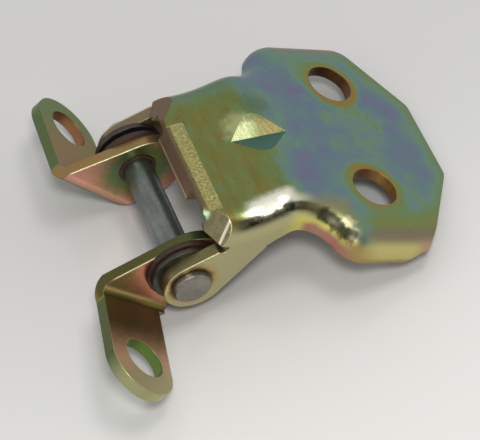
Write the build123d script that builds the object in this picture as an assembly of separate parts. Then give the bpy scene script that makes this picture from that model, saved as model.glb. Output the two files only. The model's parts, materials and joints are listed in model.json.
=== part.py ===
from build123d import *
import os
from math import hypot

# Car door hinge: a pressed door leaf on a riveted pin, with two pillar brackets that turn on it.
#
# Everything is drawn in the hinge frame first, in millimetres. There the pin axis is the Y axis, the
# flat bolt plate is level, and X points from the pin to the plate. At the end the whole hinge is
# turned about the pin and set down on the table, the way it lies in the photograph, so +Z is up from
# the table and the middle of the bounding box stands over the origin.
#
# "Near" is the side at -Y, which faces the viewer, and "far" is the side at +Y.

# Sheet of the door leaf
LEAF_SHEET = 3.3
PLATE_HEIGHT = 28.3
PLATE_END = 70.6
PLATE_HALF_WIDTH = 36.8
NECK_HALF_WIDTH = 25.3
RIM_RADIUS = 7.2
FLARE_START = 21.5
FLARE_LENGTH = 16.0
CORNER_CUT_X = 16.6
CORNER_CUT_HALF = 12.4
CORNER_ROUND = 4.0

# Lower edge of the flanges along the sides
FLANGE_DEPTH = 7.0
FLANGE_END_RISE = 3.0
FLANGE_END_LENGTH = 5.0
FLANGE_SWEEP_RADIUS = 9.0
NOTCH_DEPTH = 7.6
NOTCH_LENGTH = 11.2
NOTCH_TO_FLANGE = 9.6
NOTCH_ROUND = 4.0

# Sloping neck, from the plate down to the stop lip
BEND_X = 18.0
WAIST_X = 9.0
WAIST_DROP = 6.9
LIP_X = -0.5
LIP_DROP = 10.1
BEND_RADIUS = 10.0
WAIST_RADIUS = 22.0

# Stop lip turned down at the front of the neck, and the facets beside it
LIP_BOTTOM = 12.8
LIP_FROM = -8.1
LIP_TO = 12.1
SLOT_TOP = 16.4
SLOT_HALF = 18.0
SLOT_ROUND = 1.2
FACET_BOTTOM = 13.9
FACET_NORMAL = (-0.72, 0.42, 0.55)
FACET_POINT = (2.9, 23.5, 15.5)
COIN_WIDTH = 4.2
COIN_DEPTH = 0.55

# Dart pressed across the bend between neck and plate
DART_TIP_X = 26.7
DART_FOOT_X = 12.0
DART_Y = 1.8
DART_HALF_WIDTH = 5.9
DART_DEPTH = 1.9

# Bolt holes of the door leaf, each centre as (x, y)
LEAF_HOLE_R = 6.25
LEAF_HOLE_FAR = (48.6, 19.6)
LEAF_HOLE_NEAR = (45.5, -17.3)

# Ears that carry the pin, with points as (x, z)
EAR_RADIUS = 8.3
EAR_CENTRE = (1.5, -0.5)
EAR_FRONT = (4.5, 13.2)
EAR_BACK = (14.7, 14.0)
EAR_OVERLAP = 1.6
RELIEF_RADIUS = 1.4
RELIEF_INSET = 1.1

# Pin
PIN_R = 4.0
HEAD_OVERHANG = 1.1
HEAD_HEIGHT = 1.9
HEAD_RIM = 0.5
DISH_DEPTH = 0.35

# Bushes and washers
BUSH_WALL = 0.9
BUSH_FLANGE_R = 9.8
BUSH_FLANGE = 1.3
BUSH_STAND_OUT = 0.4
WASHER_R = 9.0
WASHER = 1.4

# Pillar brackets
BRACKET_SHEET = 3.0
BRACKET_LOBE_R = 11.0
BRACKET_LOBE_OFFSET = 3.0
BRACKET_BEND_IN = 2.0
FOOT_HOLE_R = 5.9

# Feet of the two brackets. A foot is turned about the pin and lies at its level below the pin. Its
# bend runs from left to right, and it reaches out to a round end with one bolt hole.
NEAR_FOOT = dict(turn=20.0, level=-15.0, left=-15.5, right=5.0, reach=22.9, shift=-11.6,
                 end_r=9.8, hole=20.9, hole_shift=-10.0)
FAR_FOOT = dict(turn=24.0, level=-12.0, left=-16.0, right=6.6, reach=19.7, shift=-3.6,
                end_r=10.6, hole=20.0, hole_shift=-3.3)

# Clearances of the fits, and the play of the brackets along the pin
PRESS_CLEARANCE = 0.02
RUNNING_CLEARANCE = 0.05
WASHER_CLEARANCE = 0.1
SIDE_GAP = 0.3
END_FLOAT = 1.8

# The way the hinge lies on the table, in degrees about the pin
TABLE_TILT = 31.5

# Where the pieces stack up along the pin, outwards from the middle
EAR_INNER = NECK_HALF_WIDTH - LEAF_SHEET
WASHER_FACE = EAR_INNER - WASHER
NEAR_LEG_FACE = WASHER_FACE - SIDE_GAP - BUSH_FLANGE
FAR_LEG_FACE = NEAR_LEG_FACE - END_FLOAT
SLEEVE_R = PIN_R + RUNNING_CLEARANCE + BUSH_WALL

# Lengths that only have to run past what they cut
REACH_OUT = PLATE_END + PLATE_HEIGHT
SLACK = 1.0


def polygon(points):
    """Filled outline through the given points."""
    return make_face(Polyline(*points, close=True))


def rounded_at(outline, spot, radius):
    """Round the outline's corner nearest to the spot."""
    corner = min(outline.vertices(), key=lambda v: hypot(v.X - spot[0], v.Y - spot[1]))
    return fillet(corner, radius)


def shrunk(outline, inset):
    """The outline moved inwards by the inset, with its corners kept sharp."""
    if inset == 0:
        return outline
    return offset(outline, amount=-inset, kind=Kind.INTERSECTION)


def along_y(outline, low, high):
    """Extrude an outline drawn with x and z as its two coordinates, from y low to y high."""
    flat = Plane(origin=(0, low, 0), x_dir=(1, 0, 0), z_dir=(0, -1, 0)) * outline
    return extrude(flat, amount=high - low, dir=(0, 1, 0))


def along_x(outline, low, high):
    """Extrude an outline drawn with y and z as its two coordinates, from x low to x high."""
    flat = Plane(origin=(low, 0, 0), x_dir=(0, 1, 0), z_dir=(1, 0, 0)) * outline
    return extrude(flat, amount=high - low, dir=(1, 0, 0))


def side_outline():
    """Side view of the pressing: level plate, sloping neck and the space under them."""
    waist = (WAIST_X, PLATE_HEIGHT - WAIST_DROP)
    lip = (LIP_X, PLATE_HEIGHT - LIP_DROP)
    bend = (BEND_X, PLATE_HEIGHT)
    slope = (waist[1] - lip[1]) / (waist[0] - lip[0])
    front = (lip[0] - REACH_OUT, lip[1] - slope * REACH_OUT)
    outline = polygon([(front[0], -REACH_OUT), front, waist, bend, (REACH_OUT, PLATE_HEIGHT),
                       (REACH_OUT, -REACH_OUT)])
    outline = rounded_at(outline, waist, WAIST_RADIUS)
    return rounded_at(outline, bend, BEND_RADIUS)


def flare_edge(sign):
    """Plan view of one long side: neck, S-shaped flare, then the wider plate."""
    step = PLATE_HALF_WIDTH - NECK_HALF_WIDTH
    radius = (FLARE_LENGTH ** 2 + step ** 2) / (4 * step)
    start = (FLARE_START, sign * NECK_HALF_WIDTH)
    middle = (FLARE_START + FLARE_LENGTH / 2, sign * (NECK_HALF_WIDTH + step / 2))
    finish = (FLARE_START + FLARE_LENGTH, sign * PLATE_HALF_WIDTH)
    neck = Line((-REACH_OUT, start[1]), start)
    plate = Line(finish, (REACH_OUT, finish[1]))
    return [neck, RadiusArc(start, middle, -sign * radius), RadiusArc(middle, finish, sign * radius), plate]


def plan_outline():
    """Plan view of the pressing, running past both ends."""
    front = Line((-REACH_OUT, -NECK_HALF_WIDTH), (-REACH_OUT, NECK_HALF_WIDTH))
    back = Line((REACH_OUT, -PLATE_HALF_WIDTH), (REACH_OUT, PLATE_HALF_WIDTH))
    return make_face(Wire(flare_edge(-1) + flare_edge(1) + [front, back]))


def is_rim(edge, inset):
    """True for the edges where the top of the pressing meets its two long walls."""
    middle = edge.center()
    at_side = abs(middle.Y) > NECK_HALF_WIDTH - inset - SLACK
    between_ends = abs(middle.X) < REACH_OUT - LEAF_SHEET - SLACK
    return at_side and between_ends and middle.Z > -REACH_OUT / 2


def blank(inset):
    """The solid under the pressed skin, shrunk all round by inset, with its long rims rounded."""
    side = along_y(shrunk(side_outline(), inset), -REACH_OUT, REACH_OUT)
    body = side & extrude(shrunk(plan_outline(), inset), amount=REACH_OUT, both=True)
    rims = [edge for edge in body.edges() if is_rim(edge, inset)]
    return fillet(rims, RIM_RADIUS - inset)


def front_stock(inset):
    """Block that leaves the front wall standing, with a slanting facet across each of its corners."""
    size = 4 * REACH_OUT
    block = Pos(LIP_X + inset + size / 2, 0, 0) * Box(size, size, size)
    for sign in (-1, 1):
        normal = Vector(FACET_NORMAL[0], sign * FACET_NORMAL[1], FACET_NORMAL[2]).normalized()
        spot = Vector(FACET_POINT[0], sign * FACET_POINT[1], FACET_POINT[2]) - normal * inset
        facet = Plane(origin=spot, z_dir=normal) * Rectangle(size, size)
        block -= extrude(facet, amount=size, dir=normal)
    return block


def dart_wedge(drop):
    """V-shaped bar along the valley of the dart, lowered by drop."""
    slope = WAIST_DROP / (BEND_X - WAIST_X)
    foot_drop = (BEND_X - DART_FOOT_X) * slope
    run = DART_TIP_X - DART_FOOT_X
    valley = Vector(run, 0, foot_drop).normalized()
    start = Vector(DART_FOOT_X, DART_Y, PLATE_HEIGHT - foot_drop - drop) - valley * run
    tall = 2 * DART_DEPTH
    section = polygon([(0, 0), (2 * DART_HALF_WIDTH, tall), (-2 * DART_HALF_WIDTH, tall)])
    flat = Plane(origin=start, x_dir=(0, -1, 0), z_dir=-valley) * section
    return extrude(flat, amount=3 * run, dir=valley)


def dart_wall():
    """How far the sheet's inner side lies below its outer side in the dart, straight down."""
    return LEAF_SHEET * hypot(DART_HALF_WIDTH, DART_DEPTH) / DART_HALF_WIDTH


def lower_limit():
    """What is kept of the pressing in side view: above the flange's lower edge and the notch."""
    flange = PLATE_HEIGHT - FLANGE_DEPTH
    notch = PLATE_HEIGHT - NOTCH_DEPTH
    notch_end = FLARE_START + NOTCH_LENGTH
    end = PLATE_END - CORNER_CUT_X
    rise = flange + FLANGE_END_RISE
    notch_corners = [(FLARE_START - SLACK, notch), (notch_end, notch)]
    flange_corners = [(notch_end + NOTCH_TO_FLANGE, flange), (end - FLANGE_END_LENGTH, flange)]
    front = [(-REACH_OUT, REACH_OUT), (-REACH_OUT, LIP_BOTTOM), (EAR_BACK[0] - SLACK, LIP_BOTTOM)]
    back = [(end, rise), (REACH_OUT, rise), (REACH_OUT, REACH_OUT)]
    outline = polygon(front + notch_corners + flange_corners + back)
    outline = rounded_at(outline, notch_corners[0], NOTCH_ROUND)
    outline = rounded_at(outline, notch_corners[1], FLANGE_SWEEP_RADIUS)
    outline = rounded_at(outline, flange_corners[0], FLANGE_SWEEP_RADIUS)
    outline = rounded_at(outline, flange_corners[1], NOTCH_ROUND)
    return along_y(outline, -REACH_OUT, REACH_OUT)


def end_limit():
    """What is kept in plan view: the plate's end with its two slanting corners."""
    side = PLATE_HALF_WIDTH + SLACK
    cut_from = PLATE_END - CORNER_CUT_X
    near_end = (PLATE_END, -CORNER_CUT_HALF)
    far_end = (PLATE_END, CORNER_CUT_HALF)
    outline = polygon([(-REACH_OUT, -side), (cut_from, -side), near_end, far_end, (cut_from, side),
                       (-REACH_OUT, side)])
    outline = rounded_at(outline, near_end, CORNER_ROUND)
    outline = rounded_at(outline, far_end, CORNER_ROUND)
    return extrude(outline, amount=REACH_OUT, both=True)


def lip_slots():
    """Cuts that leave the stop lip standing between the brackets, and shape the two corners."""
    bottom = LIP_BOTTOM - SLACK
    front = LIP_X - SLACK
    back = LIP_X + 2 * LEAF_SHEET
    cuts = []
    for low, high in ((-SLOT_HALF, LIP_FROM), (LIP_TO, SLOT_HALF)):
        slot = Pos((low + high) / 2, (bottom + SLOT_TOP) / 2) * Rectangle(high - low, SLOT_TOP - bottom)
        top_corners = slot.vertices().sort_by(Axis.Y)[-2:]
        cuts.append(along_x(fillet(top_corners, SLOT_ROUND), front, back))
    width = NECK_HALF_WIDTH + SLACK - SLOT_HALF
    for sign in (-1, 1):
        centre = Pos(sign * (SLOT_HALF + width / 2), (bottom + FACET_BOTTOM) / 2)
        cuts.append(along_x(centre * Rectangle(width, FACET_BOTTOM - bottom), front, back))
    return cuts


def coined_strip():
    """Shallow facet pressed along the front of the neck, deepest where the stop lip turns down."""
    rise = COIN_WIDTH * (LIP_DROP - WAIST_DROP) / (WAIST_X - LIP_X)
    back = (LIP_X + COIN_WIDTH, PLATE_HEIGHT - LIP_DROP + rise)
    front = (LIP_X - COIN_WIDTH, back[1] - 2 * (rise + COIN_DEPTH))
    section = polygon([back, front, (front[0], back[1] + SLACK), (back[0], back[1] + SLACK)])
    return along_y(section, SLACK - SLOT_HALF, LIP_TO)


def ear(sign, skin):
    """One ear: a rounded tip round the pin, widening up into the side of the neck inside the skin."""
    tip = Pos(*EAR_CENTRE) * Circle(EAR_RADIUS)
    top = LIP_BOTTOM + EAR_OVERLAP
    shoulder = polygon([EAR_FRONT, (EAR_FRONT[0] + SLACK, top), (EAR_BACK[0] + SLACK, top), EAR_BACK])
    outline = make_hull(tip.edges() + shoulder.edges())
    outline -= Pos(EAR_FRONT[0] - RELIEF_INSET, EAR_FRONT[1]) * Circle(RELIEF_RADIUS)
    low, high = sorted((sign * EAR_INNER, sign * NECK_HALF_WIDTH))
    return (along_y(outline, low, high) & skin) - pin_bore(PIN_R + PRESS_CLEARANCE)


def pin_bore(radius):
    """Long cylinder on the pin axis."""
    return Rot(90, 0, 0) * Cylinder(radius, 2 * REACH_OUT)


def door_leaf():
    """The door leaf, pressed from one sheet: bolt plate, flanges, neck, stop lip, dart and ears."""
    skin = blank(0)
    outer = (skin & front_stock(0)) - dart_wedge(0)
    inner = (blank(LEAF_SHEET) & front_stock(LEAF_SHEET)) - dart_wedge(dart_wall())
    leaf = (outer - inner) & lower_limit() & end_limit()
    leaf -= lip_slots()
    leaf -= coined_strip()
    leaf = leaf + ear(-1, skin) + ear(1, skin)
    for x, y in (LEAF_HOLE_FAR, LEAF_HOLE_NEAR):
        leaf -= Pos(x, y, PLATE_HEIGHT) * Cylinder(LEAF_HOLE_R, 4 * LEAF_SHEET)
    return leaf


def turned(points):
    """Solid of revolution about the pin axis from (radius, y) points."""
    return revolve(polygon(points), axis=Axis.Y, revolution_arc=360)


def hinge_pin():
    """Plain pin with a riveted head, slightly dished, outside each ear."""
    foot = NECK_HALF_WIDTH
    top = foot + HEAD_HEIGHT
    head_r = PIN_R + HEAD_OVERHANG
    far = [(PIN_R, foot), (head_r, foot), (head_r, top - HEAD_RIM), (head_r - HEAD_RIM, top),
           (0, top - DISH_DEPTH)]
    near = [(radius, -y) for radius, y in reversed(far)]
    return turned(near + far)


def bush():
    """Flanged bush: the sleeve sits in the bracket, the flange lies on its outer face at y = 0."""
    bore = PIN_R + RUNNING_CLEARANCE
    inside = -BRACKET_SHEET - BUSH_STAND_OUT
    return turned([(bore, inside), (SLEEVE_R, inside), (SLEEVE_R, 0), (BUSH_FLANGE_R, 0),
                   (BUSH_FLANGE_R, BUSH_FLANGE), (bore, BUSH_FLANGE)])


def washer():
    """Thrust washer with its inner face at y = 0."""
    bore = PIN_R + WASHER_CLEARANCE
    return turned([(bore, 0), (WASHER_R, 0), (WASHER_R, WASHER), (bore, WASHER)])


def leg_outline(foot):
    """Leg of a bracket seen along the pin: a lobe round the pin, standing on the foot's bend."""
    lobe = Pos(BRACKET_LOBE_OFFSET, 0) * Circle(BRACKET_LOBE_R)
    bottom = foot["level"] - BRACKET_SHEET - SLACK
    bend_top = foot["level"] + BRACKET_BEND_IN
    base = polygon([(foot["left"], bottom), (foot["right"], bottom), (foot["right"], bend_top),
                    (foot["left"], bend_top)])
    return make_hull(lobe.edges() + base.edges())


def foot_outline(foot):
    """Foot of a bracket seen from above: the bend's width, running out to a round end."""
    end = Pos(foot["shift"], foot["reach"]) * Circle(foot["end_r"])
    base = Line((foot["left"], BRACKET_BEND_IN), (foot["right"], BRACKET_BEND_IN))
    return make_hull(end.edges() + [base])


def angle_section(level):
    """Bent sheet seen along the bend: the leg stands on y = 0, the foot runs out to +y."""
    top = BRACKET_LOBE_R + SLACK
    outer = (-BRACKET_SHEET, level - BRACKET_SHEET)
    inner = (0, level)
    outline = polygon([(-BRACKET_SHEET, top), outer, (REACH_OUT, outer[1]), (REACH_OUT, level), inner,
                       (0, top)])
    outline = rounded_at(outline, outer, BRACKET_BEND_IN + BRACKET_SHEET)
    return rounded_at(outline, inner, BRACKET_BEND_IN)


def bracket(foot):
    """Pillar bracket with its leg's outer face at y = 0 and its foot reaching out to +y."""
    level = foot["level"]
    sheet = along_x(angle_section(level), -REACH_OUT, REACH_OUT)
    leg = along_y(leg_outline(foot), -BRACKET_SHEET - SLACK, BRACKET_BEND_IN)
    foot_keep = Pos(0, 0, level) * extrude(foot_outline(foot), amount=2 * BRACKET_SHEET, both=True)
    hole = Pos(foot["hole_shift"], foot["hole"], level) * Cylinder(FOOT_HOLE_R, 4 * BRACKET_SHEET)
    return (sheet & (leg + foot_keep)) - pin_bore(SLEEVE_R + PRESS_CLEARANCE) - hole


def far_side(body, face):
    """Set a body down with its y = 0 face at the given distance along the pin."""
    return Pos(0, face, 0) * body


def near_side(body, face):
    """The same on the near side, mirrored."""
    return mirror(far_side(body, face), about=Plane.XZ)


def hinge_parts():
    """Every part in the hinge frame, by node name."""
    far_bracket = Rot(0, FAR_FOOT["turn"], 0) * bracket(FAR_FOOT)
    near_bracket = Rot(0, NEAR_FOOT["turn"], 0) * bracket(NEAR_FOOT)
    return {
        "door_leaf": door_leaf(),
        "hinge_pin": hinge_pin(),
        "bracket_far": far_side(far_bracket, FAR_LEG_FACE),
        "bracket_near": near_side(near_bracket, NEAR_LEG_FACE),
        "bush_far": far_side(bush(), FAR_LEG_FACE),
        "bush_near": near_side(bush(), NEAR_LEG_FACE),
        "washer_far": far_side(washer(), WASHER_FACE),
        "washer_near": near_side(washer(), WASHER_FACE),
    }


def on_table(parts):
    """Tilt the hinge the way it lies and stand the middle of its box over the origin."""
    tilted = {name: Rot(0, TABLE_TILT, 0) * body for name, body in parts.items()}
    boxes = [body.bounding_box() for body in tilted.values()]
    middle_x = (min(box.min.X for box in boxes) + max(box.max.X for box in boxes)) / 2
    middle_y = (min(box.min.Y for box in boxes) + max(box.max.Y for box in boxes)) / 2
    table = min(box.min.Z for box in boxes)
    shift = Pos(-middle_x, -middle_y, -table)
    return {name: shift * body for name, body in tilted.items()}


def main():
    os.makedirs("parts", exist_ok=True)
    for name, body in on_table(hinge_parts()).items():
        body.label = name
        export_step(body, f"parts/{name}.step")


main()
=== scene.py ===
# %% [markdown]
# # A car door hinge in yellow-chromate zinc
#
# This lesson dresses a finished CAD model of a car door hinge for a photograph-like render. The hinge
# has a pressed door leaf with two ears, a riveted pin, two angle brackets that swing on the pin, two
# dark bushes and two grey washers. All the sheet metal is zinc plated and dipped in yellow chromate, a
# thin clear film that shows blue, green, gold and pink by its thickness. Nearly all the work is
# therefore in the materials: where on the metal each colour lies, how it fades into the next, and
# how the bright highlights break up on the grain.

# %% Load the model and keep its box
import json
import math

import bpy
from mathutils import Euler, Matrix, Vector


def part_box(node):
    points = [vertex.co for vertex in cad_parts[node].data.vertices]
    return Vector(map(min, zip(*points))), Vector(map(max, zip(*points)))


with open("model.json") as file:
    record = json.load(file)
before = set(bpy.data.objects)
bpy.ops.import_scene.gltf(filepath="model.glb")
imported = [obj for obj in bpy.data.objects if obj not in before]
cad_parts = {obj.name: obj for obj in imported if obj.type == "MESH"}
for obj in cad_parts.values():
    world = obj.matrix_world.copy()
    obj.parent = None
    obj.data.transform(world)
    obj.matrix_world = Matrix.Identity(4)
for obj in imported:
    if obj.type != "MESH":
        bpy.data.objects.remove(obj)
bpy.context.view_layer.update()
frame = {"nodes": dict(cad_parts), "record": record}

scene = bpy.context.scene
print("nodes:", sorted(frame["nodes"]))

# %% [markdown]
# ## The camera
#
# The photograph was taken from above and slightly to the left, from about 63 cm away with a long lens.
# The place and the turn were worked out from the corners of the plate and the centres of the holes.
# A long lens is a narrow angle of view, so the far bracket looks nearly as large as the near one.

# %% Camera
PHOTO_WIDTH_PX = 480
FOCAL_LENGTH_PX = 2451.33
CAMERA_PLACE = (-0.0946, -0.35754, 0.52778)
CAMERA_TURN_DEGREES = (34.712, 4.843, -21.346)

camera_data = bpy.data.cameras.new("camera")
camera_data.sensor_width = 36.0
camera_data.angle = 2 * math.atan(PHOTO_WIDTH_PX / 2 / FOCAL_LENGTH_PX)
camera_data.clip_start = 0.05
camera = bpy.data.objects.new("camera", camera_data)
camera.location = CAMERA_PLACE
camera.rotation_euler = Euler([math.radians(angle) for angle in CAMERA_TURN_DEGREES])
scene.collection.objects.link(camera)
scene.camera = camera
print("lens in mm:", round(camera_data.lens, 1))

# %% [markdown]
# ## Shader arithmetic
#
# A pattern is a sum over the surface: this much of the halo, that much of the streaks, less near the
# edge. Written out as Python expressions it reads like one. The class below wraps one socket of a
# node tree, so that adding or multiplying two of them adds the Math node that does it.
#
# Most patterns are masks, numbers from 0 to 1 that say where a colour lies. `rise` makes one from any
# measure of the place, and masks are multiplied to keep only where they all agree.

# %% A socket that can be used in expressions
class Wire:
    """One output socket of a material, with the tree that it belongs to."""

    def __init__(self, tree, socket):
        self.tree = tree
        self.socket = socket

    def node(self, kind, settings=None, inputs=None, output=0):
        """Add a node: its settings first, then the values or links of its inputs."""
        made = self.tree.nodes.new(kind)
        for name, value in (settings or {}).items():
            setattr(made, name, value)
        for name, value in (inputs or {}).items():
            if isinstance(value, Wire):
                self.tree.links.new(value.socket, made.inputs[name])
            else:
                made.inputs[name].default_value = value
        return Wire(self.tree, made.outputs[output])

    def arithmetic(self, operation, first, second=0.0):
        return self.node("ShaderNodeMath", {"operation": operation}, {0: first, 1: second})

    def vector(self, operation, other=(0.0, 0.0, 0.0), output=0):
        return self.node("ShaderNodeVectorMath", {"operation": operation}, {0: self, 1: other}, output)

    def __add__(self, other):
        return self.arithmetic("ADD", self, other)

    def __radd__(self, other):
        return self.arithmetic("ADD", other, self)

    def __sub__(self, other):
        return self.arithmetic("SUBTRACT", self, other)

    def __rsub__(self, other):
        return self.arithmetic("SUBTRACT", other, self)

    def __mul__(self, other):
        return self.arithmetic("MULTIPLY", self, other)

    def size(self):
        """The number without its sign."""
        return self.arithmetic("ABSOLUTE", self)

    def lower(self, other):
        """The lower of two numbers."""
        return self.arithmetic("MINIMUM", self, other)

    def higher(self, other):
        """The higher of two numbers."""
        return self.arithmetic("MAXIMUM", self, other)

    def rise(self, start, end):
        """A soft step: 0 at the start, 1 at the end. A start above the end makes it fall."""
        return self.node("ShaderNodeMapRange", {"interpolation_type": "SMOOTHSTEP"},
                         {"Value": self, "From Min": start, "From Max": end})

    def between(self, start, full, fading, end):
        """A soft band: 0 up to the start, 1 from full to fading, and 0 again from the end."""
        return self.rise(start, full) * self.rise(end, fading)

    def toward(self, target, amount):
        """This number, moved towards a target by an amount from 0 to 1."""
        return self + (target - self) * amount

    def parts(self):
        """The x, y and z of a vector."""
        split = self.node("ShaderNodeSeparateXYZ", inputs={"Vector": self}).socket.node
        return [Wire(self.tree, output) for output in split.outputs]

    def away(self, spot):
        """How far this place is from a spot, in millimetres."""
        return self.vector("DISTANCE", spot, output="Value")

    def from_axis(self):
        """How far this place is from the axis of the pin, in millimetres."""
        return self.vector("MULTIPLY", (1.0, 0.0, 1.0)).vector("LENGTH", output="Value")

    def along(self, direction):
        """How much this vector points in a direction, from -1 to 1, or a place's distance along it."""
        return self.vector("DOT_PRODUCT", Vector(direction).normalized(), output="Value")

    def coloured(self, stops):
        """This number from 0 to 1 as a colour, by a ramp of positions and colours."""
        made = self.node("ShaderNodeValToRGB", inputs={"Fac": self})
        ramp = made.socket.node.color_ramp.elements
        ramp[0].position, ramp[0].color = stops[0]
        ramp[1].position, ramp[1].color = stops[-1]
        for position, colour in stops[1:-1]:
            ramp.new(position).color = colour
        return made

    def mixed(self, other, amount):
        """This colour, with an amount of another colour laid over it."""
        return self.node("ShaderNodeMix", {"data_type": "RGBA"}, {0: amount, 6: self, 7: other}, output=2)

    def layered(self, layers):
        """This colour, with other colours laid over it in turn, each where its mask says."""
        skin = self
        for colour, mask in layers:
            skin = skin.mixed(colour, mask)
        return skin


def paint(red, green, blue):
    """A colour given as it looks on the screen, 0 to 255, in the light that Blender works in."""
    def lit(value):
        share = value / 255
        return share / 12.92 if share <= 0.04045 else ((share + 0.055) / 1.055) ** 2.4
    return (lit(red), lit(green), lit(blue), 1.0)


print("a mid grey of 128 is", round(paint(128, 128, 128)[0], 3), "in light")

# %% [markdown]
# ## Measuring on the metal
#
# Patterns follow the part, so they are laid out in the hinge's own frame: millimetres, with the pin
# axis as Y and X running from the pin to the bolt plate, before the hinge is tilted on the table. A
# Mapping node turns Object coordinates back into that frame, and the surface's direction with them.
# `own_place` does the same with one place, and `own_box` with a whole CAD node, so sizes can be read off
# the frame instead of being typed in again.
#
# Punched steel has no razor edges: a fine rounding runs along every cut and catches the light. A Bevel
# node bends the normals there, so the rounding costs no faces and the CAD mesh stays as it is.

# %% Material set-up
TABLE_TILT = math.radians(31.5)
EDGE_ROUNDING = 0.0004
MM_PER_METRE = 1000.0
STREAKY = (1.0, 0.3, 1.0)

pin_low, pin_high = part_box("hinge_pin")
pin_centre = (pin_low + pin_high) / 2
mounts = {mount["name"]: mount for mount in frame["record"]["mounts"]}
print("pin centre:", tuple(round(v, 5) for v in pin_centre))
print("mounts:", ", ".join(mounts))


def own_place(spot, extra_turn=0.0):
    """A place of the frame, as it is measured in the hinge's own frame, in millimetres."""
    return Matrix.Rotation(-TABLE_TILT - extra_turn, 3, "Y") @ (Vector(spot) - pin_centre) * MM_PER_METRE


def own_box(node):
    """Lowest and highest place of a CAD node in the hinge's own frame, in millimetres."""
    corners = [own_place(vertex.co) for vertex in frame["nodes"][node].data.vertices]
    return [Vector([limit(values) for values in zip(*corners)]) for limit in (min, max)]


def new_material(name, metallic, roughness, extra_turn=0.0):
    """Material with a metal shader. Returns it, the shader, the place in mm and the facing direction."""
    material = bpy.data.materials.new(name)
    material.use_nodes = True
    tree = material.node_tree
    tree.nodes.clear()
    out = tree.nodes.new("ShaderNodeOutputMaterial")
    shader = tree.nodes.new("ShaderNodeBsdfPrincipled")
    tree.links.new(shader.outputs[0], out.inputs["Surface"])
    shader.inputs["Metallic"].default_value = metallic
    shader.inputs["Roughness"].default_value = roughness
    coordinates = tree.nodes.new("ShaderNodeTexCoord")
    here = Wire(tree, coordinates.outputs["Object"])
    back = (0.0, -TABLE_TILT - extra_turn, 0.0)
    place = here.node("ShaderNodeMapping", {"vector_type": "POINT"},
                      {"Vector": here.vector("SUBTRACT", pin_centre), "Rotation": back,
                       "Scale": (MM_PER_METRE, MM_PER_METRE, MM_PER_METRE)})
    facing = here.node("ShaderNodeMapping", {"vector_type": "VECTOR"},
                       {"Vector": Wire(tree, coordinates.outputs["Normal"]), "Rotation": back})
    return material, shader, place, facing


def feed(shader, name, value):
    """Link a wire to one of the shader's sockets."""
    value.tree.links.new(value.socket, shader.inputs[name])


def noise(place, scale, detail=2.0, roughness=0.5, stretch=(1.0, 1.0, 1.0), shift=0.0):
    """Cloudy pattern about 0, mostly from -0.5 to 0.5. Its features are 1/scale millimetres across."""
    moved = place.vector("MULTIPLY", stretch).vector("ADD", (shift, shift, shift))
    cloudy = place.node("ShaderNodeTexNoise", inputs={"Vector": moved, "Scale": scale, "Detail": detail,
                                                      "Roughness": roughness})
    return (cloudy - 0.5) * 2.0


def blot(place, spot, reach, core, ragged):
    """Mask of a round spot: 1 within its core, 0 beyond its reach, with an uneven rim."""
    return (place.away(spot) + ragged).rise(reach, core)


def relief(shader, height, microns):
    """Give the surface a fine relief: a height of 1 stands that many thousandths of a millimetre proud."""
    eased = height.node("ShaderNodeBevel", {"samples": 6}, {"Radius": EDGE_ROUNDING})
    bump = height.node("ShaderNodeBump", inputs={"Distance": microns * 1e-6, "Height": height,
                                                 "Normal": eased})
    feed(shader, "Normal", bump)


def dress(material, *nodes):
    """Give CAD nodes a material."""
    for name in nodes:
        for slot in frame["nodes"][name].material_slots:
            slot.material = material
    print(material.name, "on", ", ".join(nodes), "with", len(material.node_tree.nodes), "shader nodes")


# %% [markdown]
# ## The colours of the film
#
# A chromate film is clear, and its colour comes from its thickness, as on a soap bubble. So the colours
# always follow each other in one order: blue lies between purple and teal, green between teal and
# olive, and brown and pink come last. The whole pattern is therefore painted as one number, the film,
# and a colour ramp turns it into colours. Halos and margins then fade through the right colours.
#
# The numbers below the ramp are the thicknesses that the parts of the pattern aim for.

# %% Film colours
FILM = [(0.00, paint(136, 92, 118)), (0.12, paint(114, 104, 130)), (0.26, paint(102, 114, 132)),
        (0.40, paint(98, 124, 126)), (0.52, paint(104, 134, 114)), (0.62, paint(108, 128, 80)),
        (0.72, paint(122, 124, 64)), (0.82, paint(136, 112, 56)), (0.90, paint(140, 92, 60)),
        (1.00, paint(164, 98, 92))]
PLATE_BLUE = 0.36
NECK_TEAL = 0.50
SLOPE_TEAL = 0.52
CORNER_TEAL = 0.54
NECK_GREEN = 0.62
MARGIN_GREEN = 0.63
LOW_END_OLIVE = 0.69
STRIP_OLIVE = 0.69
NECK_OLIVE = 0.70
HALO_OLIVE = 0.70
HALO_BROWN = 0.82
WALL_BROWN = 0.86
BUSH_BROWN = 0.88
SHEET_METALLIC = 0.85
SHEET_ROUGHNESS = 0.36

print("the film has", len(FILM), "colours")

# %% [markdown]
# ## The door leaf
#
# The bolt plate is slate blue and purple in the middle, green towards its ends and brown round the
# holes. The neck is olive with brown streaks, and teal at its far rim. First comes the film over the
# top side. The plate's height and end and the size of its holes are read off the frame, and where the
# holes and the slanting corners lie is known from the drawing, so margins and halos are measured from
# them. The neck ends and the plate begins at the bend, and the film changes across it.

# %% Sizes and noises of the leaf
LEAF_SHEET = 3.3
SLANT_Y = 12.4
SLANT_OUT = (0.827, 0.562)
HOLE_FAR = (48.6, 19.6)
HOLE_NEAR = (45.5, -17.3)
BEND_FROM = 15.0
BEND_TO = 27.0

_, leaf_high = own_box("door_leaf")
_, washer_high = own_box("washer_far")
_, pin_end = own_box("hinge_pin")
plate_top = leaf_high.z
plate_bottom = plate_top - LEAF_SHEET
plate_end = leaf_high.x
hole_radius = mounts["door_bolts"]["dims"]["hole_r_mm"]
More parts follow.
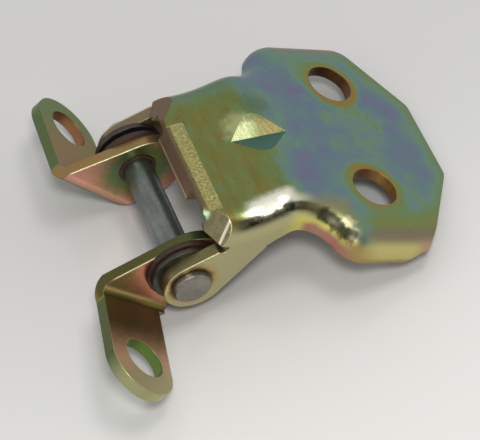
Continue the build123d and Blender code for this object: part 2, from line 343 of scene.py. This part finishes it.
# The far washer lies on the inner face of its ear, and the pin is nowhere wider than its heads.
ear_face = washer_high.y + LEAF_SHEET
head_radius = pin_end.x
print("plate top, plate end, ear face, hole radius and head radius in mm:",
      [round(size, 2) for size in (plate_top, plate_end, ear_face, hole_radius, head_radius)])

leaf, leaf_shader, place, facing = new_material("leaf_zinc", SHEET_METALLIC, SHEET_ROUGHNESS)
x, y, z = place.parts()
nx, ny, nz = facing.parts()
sideways = ny.size()
cloud = noise(place, 0.085, detail=3.0, roughness=0.6)
mottle = noise(place, 0.5, detail=4.0, roughness=0.6, shift=20.0)
streaks = noise(place, 0.42, detail=3.0, roughness=0.6, stretch=STREAKY, shift=40.0)

# %% Film over the top of the leaf
PURPLE_SPOTS = [(36.5, 16.8), (38.7, 10.4), (60.5, 3.2)]
# Painted highlight: a pale spot on the neck by the foot of the dart.
NECK_HIGHLIGHT_SPOT = (15.2, 5.6, 25.0)
# Painted shade: a dark olive spot on the bend above the dart.
NECK_SHADE_SPOT = (21.5, 11.2, 27.0)
TOP = {"olive brown": paint(84, 78, 40), "deep teal": paint(52, 76, 58),
       "neck highlight green": paint(190, 196, 140), "neck shade olive": paint(70, 80, 48)}

plate_film = PLATE_BLUE + x.rise(34.0, 50.0) * 0.06 + cloud * 0.52 + mottle * 0.10
for spot in PURPLE_SPOTS:
    plate_film = plate_film - place.away((*spot, plate_top)).rise(4.0, 0.5) * 0.2
slant = (plate_end - x) * SLANT_OUT[0] + (SLANT_Y - y.size()) * SLANT_OUT[1]
margin = slant.lower(plate_end - x).rise(6.0, 0.3)
plate_film = plate_film.toward(MARGIN_GREEN, margin * 0.85)

neck_film = NECK_OLIVE + cloud * 0.16 + streaks * 0.12 + mottle * 0.08
neck_film = neck_film.higher(NECK_GREEN).toward(NECK_TEAL, y.rise(13.0, 24.0))
film = plate_film.toward(neck_film, x.rise(BEND_TO, BEND_FROM))

flat = place.vector("MULTIPLY", (1.0, 1.0, 0.0))
hole_far = flat.away((*HOLE_FAR, 0.0))
hole_near = flat.away((*HOLE_NEAR, 0.0))
from_hole = hole_far.lower(hole_near)
low_end = (mottle * 3.0 - y).rise(19.0, 30.0) * x.rise(34.0, 42.0)
brown_far = flat.away((HOLE_FAR[0] + 0.3, HOLE_FAR[1] - 1.0, 0.0))
brown_near = flat.away((HOLE_NEAR[0] - 1.0, HOLE_NEAR[1] + 0.6, 0.0))
far_corner = y.rise(26.0, 31.0) * x.rise(28.0, 34.0)
near_slope = (y + cloud * 6.0).rise(-5.0, -11.0) * y.rise(-26.0, -20.0) * x.between(28.0, 33.0, 38.0, 44.0)
film = film.toward(LOW_END_OLIVE, low_end * 0.95)
film = film.toward(HALO_OLIVE, (from_hole + mottle * 1.2).rise(10.5, 6.4))
film = film.toward(HALO_BROWN, (brown_far.lower(brown_near) + mottle * 0.7).rise(8.2, 6.6))
film = film.toward(CORNER_TEAL, far_corner * 0.7)
film = film.toward(SLOPE_TEAL, near_slope * 0.5)

neck = x.rise(BEND_TO - 3.0, BEND_FROM)
skin = film.coloured(FILM).layered([
    (TOP["olive brown"], neck * y.rise(22.0, 15.0) * (0.22 + streaks * 0.4)),
    (TOP["deep teal"], neck * y.rise(18.0, 23.0) * 0.6),
    # Painted highlight on the neck by the dart's foot.
    (TOP["neck highlight green"], blot(place, NECK_HIGHLIGHT_SPOT, 6.0, 1.0, mottle * 2.5) * 0.6),
    # Painted shade on the bend above the dart.
    (TOP["neck shade olive"], blot(place, NECK_SHADE_SPOT, 5.5, 1.5, mottle * 2.0) * 0.45),
])
print("film with halos round", HOLE_FAR, HOLE_NEAR, "and", len(PURPLE_SPOTS), "purple spots")

# %% [markdown]
# The pressed sides have colours of their own: the near flank is a pale yellow, the hollow of the flare
# is yellow with a pink rim, and the flange is yellow and turns pink towards its end. These are laid
# over the film with masks made from the surface's direction and place.
#
# Along the near rim of the neck the light is partly painted in. Its crest is painted nearly white as a
# painted highlight, and made smoother, and just below the crest, where the surface turns down, lies a
# painted dark band that stands for a dark reflection. On the slope of the flare the band goes on as a row
# of painted dark reflection spots, with a painted highlight spot beside them. The paint works together
# with the light: the highlight falls on the white-painted crest and stops at the dark band.

# %% Flank, flare and flange
FLARE_FROM = 21.0
FLARE_TO = 37.0
# Places of painted dark reflection spots along the flare.
DARK_REFLECTION_SPOTS = [(27.6, -25.0, 26.3), (28.9, -26.4, 26.1), (30.1, -28.2, 25.8), (31.0, -30.1, 25.8),
        (32.0, -31.9, 25.9)]
# Painted highlight: a bright spot beside the dark spots on the flare.
FLARE_HIGHLIGHT_SPOT = (32.4, -28.4, 27.2)
PRESSED = {"rim gloss highlight": paint(216, 212, 182), "flank": paint(172, 166, 124),
           "crest_highlight_and_polish": paint(236, 234, 216), "dark_reflection_band": paint(50, 47, 28),
           "shoulder": paint(138, 132, 84), "hollow": paint(204, 198, 104),
           "hollow end": paint(150, 120, 84), "hollow rim": paint(160, 106, 102),
           "dark_reflection_spot": paint(52, 50, 36), "flare highlight": paint(196, 190, 148),
           "flange": paint(190, 182, 116), "flange top": paint(126, 112, 98),
           "flange end": paint(176, 124, 110)}

side = sideways.rise(0.40, 0.85)
turning = sideways.between(0.05, 0.40, 0.50, 0.85)
front_part = x.rise(FLARE_FROM + 7.0, FLARE_FROM - 2.0)
flare_part = x.rise(FLARE_FROM - 4.0, FLARE_FROM + 1.0)
flange_part = x.rise(FLARE_TO - 4.0, FLARE_TO + 4.0)
wavy_z = z + mottle * 0.8
near_turning = turning * front_part * y.rise(0.0, -4.0)
# Painted highlight: the crest of the near rim is painted nearly white, and this mask also makes it smoother.
crest_highlight_and_polish = (mottle * 0.9 - y).rise(16.1, 18.8) * x.between(7.5, 11.5, 18.0, 21.5) * nz.rise(0.5, 0.7)
# Painted dark reflection: a dark band just below the crest of the near rim.
dark_reflection_band = ny.between(-0.84, -0.68, -0.52, -0.42) * x.between(4.0, 9.0, 26.0, 30.0)
shoulder = y.rise(-18.0, -24.0) * x.between(20.0, 25.0, 32.0, 37.0) * (1.0 - side)
steep = nz.rise(0.75, 0.40) * y.rise(-12.0, -16.0)
hollow = steep * flare_part

skin = skin.layered([
    # Painted highlight: a pale band along the upper side of the near rim.
    (PRESSED["rim gloss highlight"], near_turning * x.rise(6.0, 13.0) * 0.8),
    (PRESSED["flank"], side * front_part),
    # Painted highlight on the crest of the near rim.
    (PRESSED["crest_highlight_and_polish"], crest_highlight_and_polish * 0.9),
    # Painted dark reflection below the crest of the near rim.
    (PRESSED["dark_reflection_band"], dark_reflection_band * (0.92 + mottle * 0.4)),
    (PRESSED["shoulder"], shoulder * (0.8 + mottle * 0.4)),
    (PRESSED["hollow"], hollow),
    (PRESSED["hollow end"], hollow * x.rise(27.0, 33.0) * 0.8),
    (PRESSED["hollow rim"], steep * wavy_z.rise(24.2, 22.6) * x.between(21.0, 24.0, 30.0, 35.0) * 0.9),
])
# Painted dark reflections: a row of dark spots on the slope of the flare.
skin = skin.layered([(PRESSED["dark_reflection_spot"], blot(place, dark_reflection_spot, 2.7, 1.3, mottle * 1.6) * 0.92) for dark_reflection_spot in DARK_REFLECTION_SPOTS])
skin = skin.layered([
    # Painted highlight spot on the flare.
    (PRESSED["flare highlight"], blot(place, FLARE_HIGHLIGHT_SPOT, 2.2, 0.4, mottle * 3.4) * 0.7),
    (PRESSED["flange"], side * flange_part * wavy_z.rise(21.6, 23.0)),
    (PRESSED["flange top"], turning * flange_part * 0.8),
    (PRESSED["flange end"], side * flange_part * (x + mottle).rise(50.0, 55.0) * 0.7),
])
print("painted dark reflection spots on the flare:", len(DARK_REFLECTION_SPOTS))

# %% [markdown]
# The front is where the press worked hardest. The coined strip and the dart are rough and yellow, the
# stop lip is brown with a painted highlight along its lower edge, and a painted dark line of shade lies in
# the crease between the strip and the lip. The facets at the corners are brassy on the near side and
# brown on the far side. Across the near facet runs a crease with a painted highlight, one bright line,
# and a painted green glint sits in the corner of the slot. The foot of the dart's far face carries a
# painted highlight, and its near face is teal painted dark as painted shade. A painted highlight runs
# along the outer edge of each ear. The holes were punched before plating, and their walls are dark brown.

# %% Strip, lip, facets, dart, holes and cut edges
STRIP_BACK = 3.6
STRIP_FROM = -17.0
STRIP_TO = 12.1
LIP_BOTTOM = 12.8
FACET_FAR = (-0.72, 0.42, 0.55)
FACET_NEAR = (FACET_FAR[0], -FACET_FAR[1], FACET_FAR[2])
CREASE_ACROSS = (0.615, -0.751, 0.232)
CREASE_AT = 22.79
# Painted highlight: a green glint in the corner of the slot.
PAINTED_SLOT_GLINT = (-0.2, -16.8, 16.6)
DART_Y = 1.8
DART_HALF_WIDTH = 7.0
DART_FROM = 12.0
DART_TO = 27.0
EAR_TOP = 12.6
FRONT = {"strip": paint(164, 156, 98), "strip grain": paint(198, 194, 138),
         "strip pits": paint(112, 92, 54), "strip edge shade": paint(84, 74, 46),
         "lip": paint(106, 88, 68), "lip edge highlight": paint(188, 168, 126),
         "facet far": paint(104, 84, 60), "facet near": paint(126, 120, 90),
         "facet shade": paint(88, 80, 50), "crease_highlight": paint(226, 222, 190),
         "slot glint highlight": paint(200, 226, 180), "dart": paint(156, 146, 94),
         "dart foot highlight": paint(206, 212, 156), "dart rim": paint(112, 116, 68),
         "dart near shade": paint(60, 96, 84), "wall": paint(76, 50, 34),
         "cut edge": paint(150, 132, 88), "ear edge": paint(112, 104, 70),
         "far ear edge": paint(128, 112, 92), "ear edge highlight": paint(204, 198, 156)}

speckle = noise(place, 1.6, detail=3.0, roughness=0.7, shift=90.0)
strip = x.rise(STRIP_BACK + 0.3, STRIP_BACK - 0.2) * nz.rise(0.4, 0.6)
strip = strip * y.between(STRIP_FROM - 0.2, STRIP_FROM + 0.2, STRIP_TO - 0.2, STRIP_TO + 0.2)
lip = nx.rise(-0.85, -0.95) * x.rise(1.5, 0.5)
facet_far = facing.along(FACET_FAR).rise(0.975, 0.99) * x.rise(9.0, 8.0)
facet_near = facing.along(FACET_NEAR).rise(0.975, 0.99) * x.rise(9.0, 8.0)
# Painted highlight: a bright line along the crease of the near facet.
crease_highlight = (place.along(CREASE_ACROSS) - CREASE_AT).size().rise(0.50, 0.20) * facet_near
in_dart = (y - DART_Y).size().rise(DART_HALF_WIDTH + 1.0, DART_HALF_WIDTH) * z.rise(19.0, 20.0)
in_dart = in_dart * x.between(DART_FROM - 2.0, DART_FROM, DART_TO, DART_TO + 1.0)
dart_far = in_dart * ny.rise(-0.20, -0.28)
dart_near = in_dart * ny.rise(0.20, 0.28)
wall = from_hole.rise(hole_radius + 0.12, hole_radius + 0.02) * z.rise(plate_bottom - 1.0, plate_bottom)
cut_edge = nz.rise(-0.75, -0.9) * z.rise(plate_bottom, plate_bottom - 1.0) * x.rise(6.0, 10.0)
ear_edge = sideways.rise(0.5, 0.3) * z.rise(EAR_TOP + 1.0, EAR_TOP)

skin = skin.layered([
    ((STRIP_OLIVE + mottle * 0.10).coloured(FILM), strip),
    (FRONT["strip"], strip * (0.6 + streaks * 0.6)),
    (FRONT["strip grain"], strip * speckle.rise(0.05, 0.30) * 0.6),
    (FRONT["strip pits"], strip * speckle.rise(-0.05, -0.30) * 0.7),
    # Painted shade: a dark line in the crease between the strip and the lip.
    (FRONT["strip edge shade"], strip * (x + mottle * 0.3).rise(0.7, 0.1) * 0.8),
    (FRONT["lip"], lip),
    # Painted highlight along the lower edge of the lip.
    (FRONT["lip edge highlight"], lip * (z + mottle * 0.3).rise(LIP_BOTTOM + 1.0, LIP_BOTTOM + 0.5) * 0.8),
    (FRONT["facet far"], facet_far),
    (FRONT["facet near"], facet_near),
    (FRONT["facet shade"], facet_near * (mottle + cloud * 0.4).rise(-0.15, 0.35) * 0.5),
    # Painted highlight along the crease.
    (FRONT["crease_highlight"], crease_highlight * 0.9),
    # Painted glint in the corner of the slot.
    (FRONT["slot glint highlight"], facet_near * blot(place, PAINTED_SLOT_GLINT, 1.6, 0.4, mottle)),
    (FRONT["dart"], dart_far * x.rise(17.0, 21.0)),
    # Painted highlight: the foot of the dart's far face is painted pale.
    (FRONT["dart foot highlight"], dart_far * x.rise(21.0, 16.0)),
    (FRONT["dart rim"], dart_far * (y + mottle * 1.5).rise(4.6, 7.6) * 0.8),
    # Teal film painted dark as painted shade on the down-facing near face of the dart.
    (FRONT["dart near shade"], dart_near),
    ((WALL_BROWN + mottle * 0.12).coloured(FILM), wall),
    (FRONT["wall"], wall * hole_far.rise(9.0, 7.0) * 0.75),
    (FRONT["cut edge"], cut_edge * 0.8),
    (FRONT["ear edge"], ear_edge * 0.85),
    (FRONT["far ear edge"], ear_edge * y.rise(0.0, 5.0) * 0.8),
    # Painted highlight: a light line along the outer edge of each ear.
    (FRONT["ear edge highlight"], ear_edge * y.size().rise(ear_face - 0.45, ear_face - 0.15) * 0.8),
])
print("strip from", STRIP_FROM, "to", STRIP_TO, "mm, dart", 2 * DART_HALF_WIDTH, "mm wide")

# %% [markdown]
# The ears carry the riveted heads of the pin. Plating fluid stayed in that joint and dried, so a dark
# ring and a golden stain lie round each head. A few dark specks are scattered over the leaf.

# %% Stains round the pin, specks
PALE_STAIN = (-5.6, -ear_face, -1.5)
STAINS = {"gold": paint(172, 132, 56), "pale": paint(214, 184, 112), "ring": paint(52, 38, 20),
          "speck": paint(50, 62, 62)}

from_pin = place.from_axis()
on_ear = sideways.rise(0.80, 0.90) * x.rise(12.0, 9.0) * z.rise(13.0, 10.0)
specks = noise(place, 0.7, detail=0.0, shift=60.0).rise(0.66, 0.72)
skin = skin.layered([
    (STAINS["gold"], on_ear * (from_pin + mottle * 1.6).rise(8.2, head_radius) * 0.85),
    (STAINS["pale"], on_ear * blot(place, PALE_STAIN, 3.2, 0.6, mottle * 2.0) * 0.8),
    (STAINS["ring"], on_ear * (from_pin + mottle * 0.6).rise(head_radius + 1.5, head_radius + 0.2) * 0.85),
    (STAINS["speck"], specks * 0.6),
])
feed(leaf_shader, "Base Color", skin)
print("stains round heads of", round(2 * head_radius, 1), "mm")

# %% [markdown]
# Fine grain breaks up the reflections everywhere, and a coarser one roughens the strip and the dart.
# The rim that was rubbed and polished is smoother than the rest. Two small dents on the neck catch the
# light.

# %% Grain and dents
DENTS = [(16.3, 16.2, 26.9), (16.8, -13.7, 27.2)]

rough = strip + dart_far
grain = noise(place, 2.4, detail=3.0, roughness=0.7)
coarse = noise(place, 1.1, detail=3.0, roughness=0.6, shift=80.0)
height = grain * 0.35 + coarse * rough * 2.2 + mottle * 0.8
for dent in DENTS:
    height = height - place.away(dent).rise(1.0, 0.0) * 2.0
smoother = near_turning * 0.08 + crest_highlight_and_polish * 0.08
feed(leaf_shader, "Roughness", SHEET_ROUGHNESS + mottle * 0.05 + rough * 0.08 - smoother)
relief(leaf_shader, height, microns=24.0)
dress(leaf, "door_leaf")

# %% [markdown]
# ## The pillar brackets
#
# Both brackets have the same film, green near the pin and pink towards the bend. Along the cut edges of a
# leg runs one painted highlight line, the near one at the outer corner and the far one at the inner. Each
# bracket is turned about the pin by its own angle, so each has its own material, measured in its own
# frame: outwards from the leg's outer face, and up or down from the pin. Its bolt hole is one of the mounts.

# %% Bracket film
BRACKET_SHEET = 3.0
LEG_TO = 1.4
FOOT_FROM = 2.2
# Colour of the painted highlight line along a leg's cut edge.
EDGE_LINE_HIGHLIGHT = paint(214, 208, 158)


def bracket_finish(name, node, mount, turn, tones):
    """Chromate on one bracket, laid out from its leg, its foot and its bolt hole."""
    low, high = own_box(node)
    sign = 1.0 if low.y > 0.0 else -1.0
    leg_face = min(abs(low.y), abs(high.y)) + BRACKET_SHEET
    hole = own_place(mounts[mount]["pos_m"], math.radians(turn))
    print(node, "has its leg's outer face at", round(sign * leg_face, 2), "mm and its hole at",
          [round(v, 2) for v in hole])

    material, shader, place, facing = new_material(name, SHEET_METALLIC, SHEET_ROUGHNESS, math.radians(turn))
    _, y, z = place.parts()
    _, ny, nz = facing.parts()
    outward = y * sign - leg_face
    sideways = ny.size()
    from_pin = place.from_axis()
    cloud = noise(place, 0.11, detail=3.0, roughness=0.6, shift=5.0 * sign)
    mottle = noise(place, 0.6, detail=4.0, roughness=0.6, shift=25.0)

    on_leg = outward.rise(FOOT_FROM, LEG_TO)
    leg_flat = on_leg * sideways.rise(0.8, 0.9)
    leg_cut = on_leg * sideways.rise(0.4, 0.2) * z.rise(-18.0, -16.0)
    # Where the painted highlight line runs along the leg's cut edge.
    line = leg_cut * z.rise(-12.0, -10.0) * (outward - tones["line at"]).size().rise(0.50, 0.20)
    on_foot = (1.0 - on_leg) * nz.rise(0.8, 0.9)
    foot_cut = outward.rise(FOOT_FROM, FOOT_FROM + 0.8) * nz.size().rise(0.3, 0.15)
    wall = foot_cut * place.away(hole).rise(7.2, 6.8)

    film = tones["film"] + cloud * 0.35 + mottle * 0.10 + from_pin.rise(8.0, 16.0) * 0.16 * on_leg
    skin = film.lower(tones["thickest"]).coloured(FILM).layered([
        (tones["leg"], leg_flat * (from_pin + mottle * 2.0).rise(7.0, 12.0) * 0.85),
        (tones["leg end"], leg_flat * (from_pin + mottle * 3.0).rise(10.0, 15.5) * 0.9),
        (tones["foot"], on_foot * 0.75),
        (tones["foot end"], on_foot * (outward + mottle * 3.0).rise(9.0, 24.0) * 0.8),
        (tones["foot tip"], on_foot * (outward + cloud * 8.0).rise(18.0, 27.0) * 0.85),
        (tones["cut"], leg_cut * 0.8),
        # Painted highlight line on the cut edge.
        (EDGE_LINE_HIGHLIGHT, line * 0.85),
        (tones["rim"], foot_cut * 0.75),
        (tones["rim end"], foot_cut * outward.rise(20.0, 30.0) * 0.8),
        (tones["wall"], wall * 0.85),
    ])
    feed(shader, "Base Color", skin)
    relief(shader, noise(place, 2.4, detail=3.0, roughness=0.7) * 0.35 + mottle * 0.8, microns=22.0)
    dress(material, node)


NEAR_TONES = {"film": 0.68, "thickest": 0.76,
              "leg": paint(244, 148, 126), "leg end": paint(156, 142, 90), "foot": paint(104, 76, 44),
              "foot end": paint(248, 198, 162), "foot tip": paint(188, 184, 136),
              "cut": paint(70, 70, 38), "rim": paint(66, 78, 46), "rim end": paint(172, 170, 124),
              "wall": paint(98, 122, 56), "line at": 0.0}
FAR_TONES = {"film": 0.66, "thickest": 0.86,
             "leg": paint(198, 146, 116), "leg end": paint(206, 150, 128), "foot": paint(138, 102, 58),
             "foot end": paint(92, 116, 56), "foot tip": paint(96, 118, 60),
             "cut": paint(146, 118, 78), "rim": paint(78, 92, 56), "rim end": paint(104, 118, 76),
             "wall": paint(146, 98, 66), "line at": -BRACKET_SHEET}
bracket_finish("bracket_zinc_near", "bracket_near", "pillar_hole_near", turn=20.0, tones=NEAR_TONES)
bracket_finish("bracket_zinc_far", "bracket_far", "pillar_hole_far", turn=24.0, tones=FAR_TONES)

# %% [markdown]
# ## Pin, bushes and washers
#
# The pin is bare ground steel. Its heads were formed by a riveting tool and are rougher. The bushes are
# a dark reddish brown, painted darker still as painted shade of the gap they sit in, and nearly black on
# their round sides as painted shade; the washers are a dull grey, also painted darker as painted shade of
# the gap, and more even on their round sides.

# %% Pin
STEEL = [(0.2, paint(74, 80, 77)), (0.5, paint(110, 116, 111)), (0.8, paint(144, 148, 141))]
HEAD_STEEL = [(0.2, paint(80, 78, 72)), (0.8, paint(146, 142, 132))]

pin, pin_shader, place, _ = new_material("pin_steel", 0.9, 0.34)
_, y, _ = place.parts()
lathe = noise(place, 1.0, detail=3.0, roughness=0.7, stretch=(0.15, 2.6, 0.15))
smear = noise(place, 0.35, detail=3.0, roughness=0.6, stretch=STREAKY, shift=12.0)
blotch = noise(place, 1.1, detail=4.0, roughness=0.65, shift=30.0)
head = y.size().rise(ear_face - 0.1, ear_face + 0.2)
shank_steel = (0.5 + lathe * 0.12 + smear * 0.35).coloured(STEEL)
feed(pin_shader, "Base Color", shank_steel.mixed((0.6 + blotch * 0.3).coloured(HEAD_STEEL), head))
relief(pin_shader, lathe * (1.0 - head) * 0.12 + blotch * (0.1 + head * 0.4), microns=40.0)
dress(pin, "hinge_pin")

# %% Bushes
# Reddish brown, painted darker as painted shade of the gap between ear and bracket.
BUSH_FACE_GAP_SHADE = paint(42, 28, 23)
BUSH_ROUND_GAP_SHADE = paint(26, 20, 17)

bush, bush_shader, place, facing = new_material("bush_dark", 0.3, 0.5)
_, ny, _ = facing.parts()
wear = noise(place, 0.9, detail=4.0, roughness=0.65)
dark = (BUSH_BROWN + wear * 0.08).coloured(FILM).mixed(BUSH_FACE_GAP_SHADE, 0.8 + wear * 0.2)
feed(bush_shader, "Base Color", dark.mixed(BUSH_ROUND_GAP_SHADE, ny.size().rise(0.5, 0.2) * 0.7))
relief(bush_shader, wear, microns=20.0)
dress(bush, "bush_far", "bush_near")

# %% Washers
# Dull grey, painted darker as painted shade of the gap between ear and bracket.
DULL_STEEL_GAP_SHADE = [(0.2, paint(46, 44, 41)), (0.8, paint(92, 88, 82))]
WASHER_ROUND = paint(70, 66, 60)

washer, washer_shader, place, facing = new_material("washer_steel", 0.85, 0.42)
_, ny, _ = facing.parts()
wear = noise(place, 0.8, detail=4.0, roughness=0.65, shift=15.0)
dull = (0.5 + wear * 0.5).coloured(DULL_STEEL_GAP_SHADE)
feed(washer_shader, "Base Color", dull.mixed(WASHER_ROUND, ny.size().rise(0.6, 0.2) * 0.5))
relief(washer_shader, wear, microns=20.0)
dress(washer, "washer_far", "washer_near")

# %% [markdown]
# ## The table
#
# The hinge lies on a pale glossy table, which mirrors it faintly where they nearly touch. The table is
# painted a little darker towards the back, a painted fall-off of the light.

# %% Floor
# Painted fall-off of the light: the table is darker towards the back.
TABLE_GREYS_FALLOFF = [(0.0, paint(190, 189, 187)), (1.0, paint(208, 207, 203))]
TABLE_ROUGHNESS = 0.22

bpy.ops.object.select_all(action="DESELECT")
bpy.ops.mesh.primitive_plane_add(size=4.0, location=(0, 0, 0))
floor = bpy.context.object
floor.name = "floor"
table = bpy.data.materials.new("table")
table.use_nodes = True
table_shader = table.node_tree.nodes["Principled BSDF"]
spot_on_table = table.node_tree.nodes.new("ShaderNodeTexCoord").outputs["Object"]
_, depth, _ = Wire(table.node_tree, spot_on_table).parts()
feed(table_shader, "Base Color", depth.rise(0.04, -0.09).coloured(TABLE_GREYS_FALLOFF))
table_shader.inputs["Roughness"].default_value = TABLE_ROUGHNESS
floor.data.materials.append(table)
print("floor", tuple(floor.dimensions))

# %% [markdown]
# ## The light
#
# Soft light comes from all round, a little more of it from low on the walls than from above. The
# viewer's head makes one dark spot in it, and the viewer's arm a paler one to the right, and the metal
# mirrors both. The key lamp stands above the camera, so the table is lit through the holes and the
# shadows stay narrow. A weaker lamp overhead, a little to the right, widens the highlight along the rim.

# %% Lamps and world
HINGE_MIDDLE = (0.0, 0.0, 0.02)
TOWARDS_HEAD = (0.12, -0.66, 0.74)
TOWARDS_ARM = (0.40, -0.40, 0.82)
GLOW_HIGH = 0.72
GLOW_LOW = 0.86
GLOW_HEAD = 0.05
GLOW_ARM = 0.15


def softbox(name, place, width, depth, watts):
    """Rectangular lamp that points at the hinge."""
    data = bpy.data.lights.new(name, "AREA")
    data.shape = "RECTANGLE"
    data.size = width
    data.size_y = depth
    data.energy = watts
    lamp = bpy.data.objects.new(name, data)
    lamp.location = place
    lamp.rotation_euler = (Vector(HINGE_MIDDLE) - Vector(place)).to_track_quat("-Z", "Y").to_euler()
    scene.collection.objects.link(lamp)
    print(name, "at", place, watts, "W")


softbox("key", (-0.06, -0.40, 0.76), width=0.14, depth=0.12, watts=3.4)
softbox("ceiling", (0.20, -0.06, 0.80), width=0.24, depth=0.18, watts=1.6)

world = bpy.data.worlds.new("world")
scene.world = world
world.use_nodes = True
background = world.node_tree.nodes["Background"]
sky = world.node_tree.nodes.new("ShaderNodeTexCoord")
direction = Wire(world.node_tree, sky.outputs["Generated"])
_, _, up = direction.parts()
head_spot = direction.along(TOWARDS_HEAD).rise(0.84, 0.94)
arm_spot = direction.along(TOWARDS_ARM).rise(0.92, 0.98)
glow = GLOW_HIGH + up.rise(0.65, 0.15) * (GLOW_LOW - GLOW_HIGH)
glow = glow.toward(GLOW_HEAD, head_spot).toward(GLOW_ARM, arm_spot)
shade = glow.node("ShaderNodeCombineColor", inputs={"Red": glow, "Green": glow, "Blue": glow * 1.01})
world.node_tree.links.new(shade.socket, background.inputs["Color"])
scene.view_settings.view_transform = "Standard"
